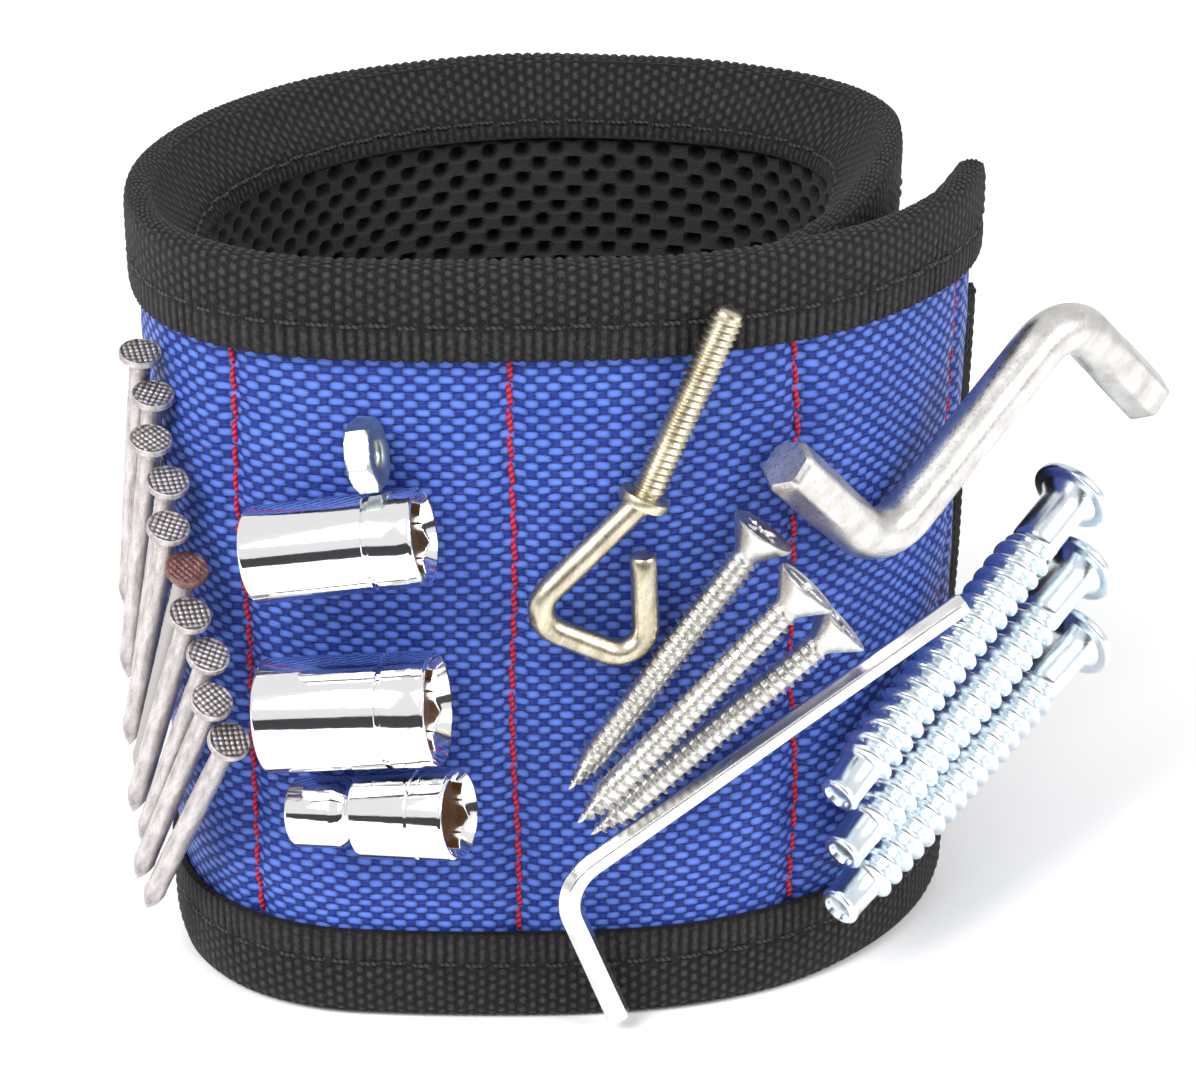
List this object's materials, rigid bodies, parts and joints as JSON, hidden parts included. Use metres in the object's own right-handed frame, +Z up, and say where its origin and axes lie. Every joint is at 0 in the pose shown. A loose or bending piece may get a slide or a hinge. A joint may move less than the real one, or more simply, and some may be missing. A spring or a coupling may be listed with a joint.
{
  "type": "magnetic hardware wristband",
  "caption": "Padded fabric wristband with a hook-and-loop closure and magnets in sewn pockets, holding nails, sockets, screws, a hook bolt and hex keys.",
  "frame": {"origin": "on the surface that the band stands on, under the middle of the bounding box of the band and what it holds", "axes": "+Z up along the band's height, the magnet face towards -Y, the closure at +X"},
  "size_m": [0.1198, 0.0998, 0.09],
  "materials": {
    "blue_ballistic_cloth": "woven, low sheen",
    "foam_padding": "open foam",
    "spacer_mesh": "knitted mesh",
    "black_webbing": "woven webbing",
    "strap_webbing": "woven webbing",
    "hook_and_loop_tape": "napped tape",
    "magnet_plating": "nickel plated",
    "red_thread": "twisted thread",
    "nail_steel": "dull drawn wire",
    "rusty_steel": "light rust",
    "polished_chrome": "polished",
    "bright_zinc": "bright zinc",
    "yellow_zinc": "aged yellow zinc",
    "white_zinc": "white zinc",
    "blue_zinc": "blue-white zinc",
    "dull_zinc": "blotchy zinc",
    "key_plating": "nickel plated"
  },
  "bodies": {
    "band": {"outer_shell": "blue_ballistic_cloth", "padding_core": "foam_padding", "mesh_lining": "spacer_mesh", "top_binding": "black_webbing", "bottom_binding": "black_webbing", "tail_end_binding": "black_webbing", "strap_anchor": "strap_webbing", "loop_patch": "hook_and_loop_tape", "disc_magnet_1": "magnet_plating", "disc_magnet_2": "magnet_plating", "disc_magnet_3": "magnet_plating", "disc_magnet_4": "magnet_plating", "disc_magnet_5": "magnet_plating", "disc_magnet_6": "magnet_plating", "disc_magnet_7": "magnet_plating", "disc_magnet_8": "magnet_plating", "disc_magnet_9": "magnet_plating", "disc_magnet_10": "magnet_plating", "disc_magnet_11": "magnet_plating", "disc_magnet_12": "magnet_plating", "disc_magnet_13": "magnet_plating", "disc_magnet_14": "magnet_plating", "disc_magnet_15": "magnet_plating", "pocket_seam_1": "red_thread", "pocket_seam_2": "red_thread", "pocket_seam_3": "red_thread", "pocket_seam_4": "red_thread", "pocket_seam_5": "red_thread", "pocket_seam_6": "red_thread"},
    "strap": {"closure_strap": "strap_webbing", "hook_tape": "hook_and_loop_tape"},
    "nails": {"nail_1": "nail_steel", "nail_2": "nail_steel", "nail_3": "nail_steel", "nail_4": "nail_steel", "nail_5": "nail_steel", "nail_6": "rusty_steel", "nail_7": "nail_steel", "nail_8": "nail_steel", "nail_9": "nail_steel", "nail_10": "nail_steel"},
    "socket_1": {"socket_1": "polished_chrome"},
    "socket_2": {"socket_2": "polished_chrome"},
    "socket_3": {"socket_3": "polished_chrome"},
    "hex_nut": {"hex_nut": "bright_zinc"},
    "hook_bolt": {"hook_bolt": "yellow_zinc"},
    "wood_screws": {"wood_screw_1": "white_zinc", "wood_screw_2": "white_zinc", "wood_screw_3": "white_zinc"},
    "panel_screws": {"panel_screw_1": "blue_zinc", "panel_screw_2": "blue_zinc", "panel_screw_3": "blue_zinc"},
    "z_hex_key": {"z_hex_key": "dull_zinc"},
    "l_hex_key": {"l_hex_key": "key_plating"}
  },
  "joints": [
    {"name": "strap_hinge", "type": "hinge", "parent": "band", "child": "strap", "pos_m": [0.0294, 0.0046, 0.045], "axis": [0, 0, -1], "range_deg": [0, 55]},
    {"name": "nails_pull", "type": "slide", "parent": "band", "child": "nails", "axis": [-0.8102, -0.5861, 0], "range_m": [0, 0.03]},
    {"name": "socket_1_pull", "type": "slide", "parent": "band", "child": "socket_1", "axis": [-0.3973, -0.9177, 0], "range_m": [0, 0.03]},
    {"name": "socket_2_pull", "type": "slide", "parent": "band", "child": "socket_2", "axis": [-0.3973, -0.9177, 0], "range_m": [0, 0.03]},
    {"name": "socket_3_pull", "type": "slide", "parent": "band", "child": "socket_3", "axis": [-0.3973, -0.9177, 0], "range_m": [0, 0.03]},
    {"name": "hex_nut_pull", "type": "slide", "parent": "band", "child": "hex_nut", "axis": [-0.3973, -0.9177, 0], "range_m": [0, 0.03]},
    {"name": "hook_bolt_pull", "type": "slide", "parent": "band", "child": "hook_bolt", "axis": [0.153, -0.9882, 0], "range_m": [0, 0.03]},
    {"name": "wood_screws_pull", "type": "slide", "parent": "band", "child": "wood_screws", "axis": [0.2, -0.9798, 0], "range_m": [0, 0.03]},
    {"name": "panel_screws_pull", "type": "slide", "parent": "band", "child": "panel_screws", "axis": [0.7691, -0.6391, 0], "range_m": [0, 0.03]},
    {"name": "z_hex_key_pull", "type": "slide", "parent": "band", "child": "z_hex_key", "axis": [0.6342, -0.7732, 0], "range_m": [0, 0.03]},
    {"name": "l_hex_key_pull", "type": "slide", "parent": "band", "child": "l_hex_key", "axis": [0.3401, -0.9404, 0], "range_m": [0, 0.03]}
  ]
}
